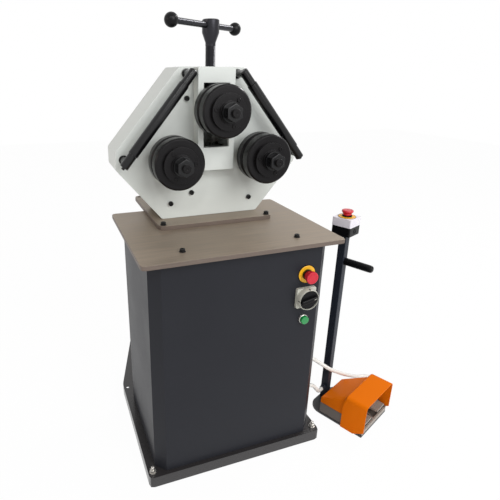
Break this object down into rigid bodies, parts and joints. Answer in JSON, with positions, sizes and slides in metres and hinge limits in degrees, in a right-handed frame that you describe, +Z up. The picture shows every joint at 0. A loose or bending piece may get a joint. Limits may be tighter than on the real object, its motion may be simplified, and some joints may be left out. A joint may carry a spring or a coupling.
{
  "type": "ring roller",
  "caption": "Upright ring roller: three overhung rolls on a six-sided head, top screw with a tommy bar, cabinet, and a foot-pedal station on two conduits",
  "frame": {"origin": "on the floor under the centre of the base rectangle", "axes": "+X to the right along the front, +Y to the back, +Z up"},
  "size_m": [0.9491, 0.8486, 1.2508],
  "materials": {
    "cabinet_paint": "dark grey powder coat, fine texture",
    "head_paint": "light grey satin paint",
    "ground_steel": "ground steel plate, grain across",
    "black_steel": "blackened turned steel",
    "plain_steel": "turned steel",
    "black_plastic": "black plastic",
    "grey_plastic": "light grey plastic",
    "red_plastic": "red plastic",
    "yellow_plastic": "yellow plastic",
    "green_lens": "green lens in a metal bezel",
    "orange_paint": "orange gloss paint",
    "base_casting": "grey cast base",
    "treadle_grey": "ribbed grey treadle",
    "conduit_grey": "pale ribbed conduit"
  },
  "bodies": {
    "root": {"base_plate": "cabinet_paint", "cabinet_shell": "cabinet_paint", "cabinet_rear_panel": "cabinet_paint", "top_plate": "ground_steel", "head_base_plate": "ground_steel", "head_casing": "head_paint", "head_back_cover": "head_paint", "slide_cover": "head_paint", "screw_nut": "plain_steel", "bearing_lower_left": "plain_steel", "bearing_lower_right": "plain_steel", "gearbox": "cabinet_paint", "motor": "cabinet_paint", "guide_bracket_left": "black_steel", "guide_bracket_right": "black_steel", "estop_bezel": "yellow_plastic", "selector_base": "grey_plastic", "power_lamp": "green_lens", "foot_plate": "base_casting", "pedal_base": "base_casting", "guard_rear": "orange_paint", "guard_hood": "orange_paint", "station_pole": "cabinet_paint", "pole_grip": "black_plastic", "station_box": "grey_plastic", "station_estop_bezel": "yellow_plastic", "cabinet_gland_upper": "plain_steel", "cabinet_gland_lower": "plain_steel", "conduit_upper": "conduit_grey", "conduit_lower": "conduit_grey"},
    "carriage": {"carriage": "plain_steel"},
    "adjusting_screw": {"adjusting_screw": "black_steel"},
    "tommy": {"tommy_bar": "black_steel", "tommy_knob_left": "black_plastic", "tommy_knob_right": "black_plastic"},
    "top_roll": {"top_spindle": "plain_steel", "top_rear_disc": "black_steel", "top_front_disc": "black_steel", "top_flange_disc": "black_steel", "top_nut": "plain_steel"},
    "lower_left_roll": {"lower_left_spindle": "plain_steel", "lower_left_rear_disc": "black_steel", "lower_left_front_disc": "black_steel", "lower_left_flange_disc": "black_steel", "lower_left_nut": "plain_steel", "drive_gear_left": "plain_steel"},
    "lower_right_roll": {"lower_right_spindle": "plain_steel", "lower_right_rear_disc": "black_steel", "lower_right_front_disc": "black_steel", "lower_right_flange_disc": "black_steel", "lower_right_nut": "plain_steel", "drive_gear_right": "plain_steel"},
    "pinion": {"drive_pinion": "plain_steel"},
    "sleeve_left": {"guide_sleeve_left": "black_steel"},
    "sleeve_right": {"guide_sleeve_right": "black_steel"},
    "estop": {"estop_button": "red_plastic"},
    "selector": {"selector_knob": "black_plastic"},
    "left_treadle": {"treadle_left": "treadle_grey"},
    "right_treadle": {"treadle_right": "treadle_grey"},
    "station_estop": {"station_estop_button": "red_plastic"}
  },
  "joints": [
    {"name": "carriage_slide", "type": "slide", "parent": "root", "child": "carriage", "axis": [0, 0, 1], "range_m": [-0.058, 0.035]},
    {"name": "screw_turn", "type": "hinge", "parent": "carriage", "child": "adjusting_screw", "pos_m": [0, 0.077, 1.1], "axis": [0, 0, 1], "range_deg": [-3479.9, 2099.9]},
    {"name": "tommy_slide", "type": "slide", "parent": "adjusting_screw", "child": "tommy", "axis": [0.8358, 0.549, 0], "range_m": [-0.075, 0.118]},
    {"name": "top_roll_spin", "type": "hinge", "parent": "carriage", "child": "top_roll", "pos_m": [0, 0, 1.022], "axis": [0, 1, 0], "continuous": true},
    {"name": "lower_left_spin", "type": "hinge", "parent": "root", "child": "lower_left_roll", "pos_m": [-0.129, 0, 0.892], "axis": [0, 1, 0], "continuous": true},
    {"name": "lower_right_spin", "type": "hinge", "parent": "root", "child": "lower_right_roll", "pos_m": [0.129, 0, 0.892], "axis": [0, 1, 0], "continuous": true},
    {"name": "pinion_spin", "type": "hinge", "parent": "root", "child": "pinion", "pos_m": [0, 0.2, 0.85219], "axis": [0, 1, 0], "continuous": true},
    {"name": "guide_left_spin", "type": "hinge", "parent": "root", "child": "sleeve_left", "pos_m": [-0.068, 0.01, 1.1227], "axis": [-0.6328, 0, -0.7743], "continuous": true},
    {"name": "guide_right_spin", "type": "hinge", "parent": "root", "child": "sleeve_right", "pos_m": [0.068, 0.01, 1.1227], "axis": [0.6328, 0, -0.7743], "continuous": true},
    {"name": "estop_press", "type": "slide", "parent": "root", "child": "estop", "axis": [0, 1, 0], "range_m": [0, 0.006], "stiffness_N_per_m": 500, "springref_m": -0.002},
    {"name": "selector_turn", "type": "hinge", "parent": "root", "child": "selector", "pos_m": [0.184, -0.203, 0.531], "axis": [0, 1, 0], "range_deg": [0, 90]},
    {"name": "treadle_left_press", "type": "hinge", "parent": "root", "child": "left_treadle", "pos_m": [0.42189, -0.18065, 0.0343], "axis": [0.9121, 0.4099, 0], "range_deg": [0, 12], "stiffness_Nm_per_rad": 2, "springref_deg": -14.32},
    {"name": "treadle_right_press", "type": "hinge", "parent": "root", "child": "right_treadle", "pos_m": [0.50581, -0.14294, 0.0343], "axis": [0.9121, 0.4099, 0], "range_deg": [0, 12], "stiffness_Nm_per_rad": 2, "springref_deg": -14.32},
    {"name": "station_estop_press", "type": "slide", "parent": "root", "child": "station_estop", "axis": [0, 0, -1], "range_m": [0, 0.006], "stiffness_N_per_m": 500, "springref_m": -0.002}
  ],
  "couplings": [
    {"joint": "carriage_slide", "follows": "screw_turn", "m_per_rad": 0.00095493},
    {"joint": "lower_right_spin", "follows": "lower_left_spin", "ratio": 1},
    {"joint": "pinion_spin", "follows": "lower_left_spin", "ratio": -2.8571}
  ]
}
